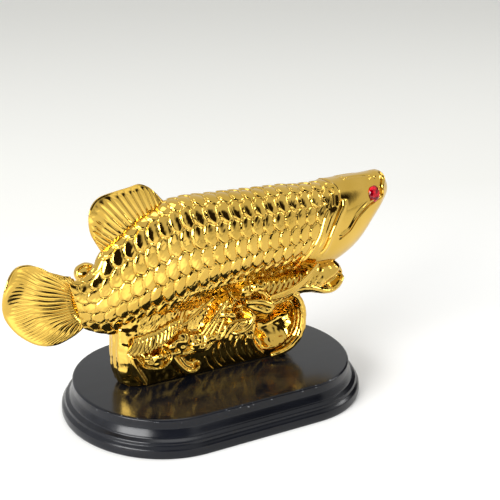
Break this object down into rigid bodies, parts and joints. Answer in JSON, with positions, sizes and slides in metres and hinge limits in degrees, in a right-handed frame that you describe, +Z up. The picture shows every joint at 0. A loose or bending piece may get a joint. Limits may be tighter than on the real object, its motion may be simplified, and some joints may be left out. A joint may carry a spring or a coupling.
{
  "type": "arowana statuette on a plinth",
  "caption": "Gilt cast figurine of an asian arowana swimming over curling waves, with red stone eyes, on a long oval black lacquered plinth.",
  "frame": {"origin": "middle of the plinth's underside", "axes": "+X towards the fish's snout, +Y towards the fish's left side, +Z up"},
  "size_m": [0.1629, 0.0838, 0.0887],
  "materials": {
    "gilt": "mirror gilt plating over cast resin",
    "lacquered_wood": "black lacquer, semi-gloss",
    "red_stone": "cut red glass stone"
  },
  "bodies": {
    "root": {"anal_fin": "gilt", "curl_back": "gilt", "curl_front": "gilt", "dorsal_fin": "gilt", "eye_left": "red_stone", "eye_right": "red_stone", "falls_back": "gilt", "falls_front": "gilt", "foam_back": "gilt", "foam_front": "gilt", "front_body": "gilt", "front_crest": "gilt", "gill_cover_left": "gilt", "gill_cover_right": "gilt", "head": "gilt", "lower_jaw": "gilt", "middle_body": "gilt", "middle_lip_back": "gilt", "middle_lip_front": "gilt", "pectoral_fin_left": "gilt", "pectoral_fin_right": "gilt", "pelvic_fin_left": "gilt", "pelvic_fin_right": "gilt", "plinth": "lacquered_wood", "rear_body": "gilt", "rear_crest": "gilt", "small_lip_back": "gilt", "small_lip_front": "gilt", "small_top_back": "gilt", "small_top_front": "gilt", "tail_fin": "gilt", "tail_stem": "gilt", "upper_foam_back": "gilt", "upper_foam_front": "gilt", "wave_base": "gilt", "wave_ring_back": "gilt", "wave_ring_front": "gilt"}
  },
  "joints": []
}
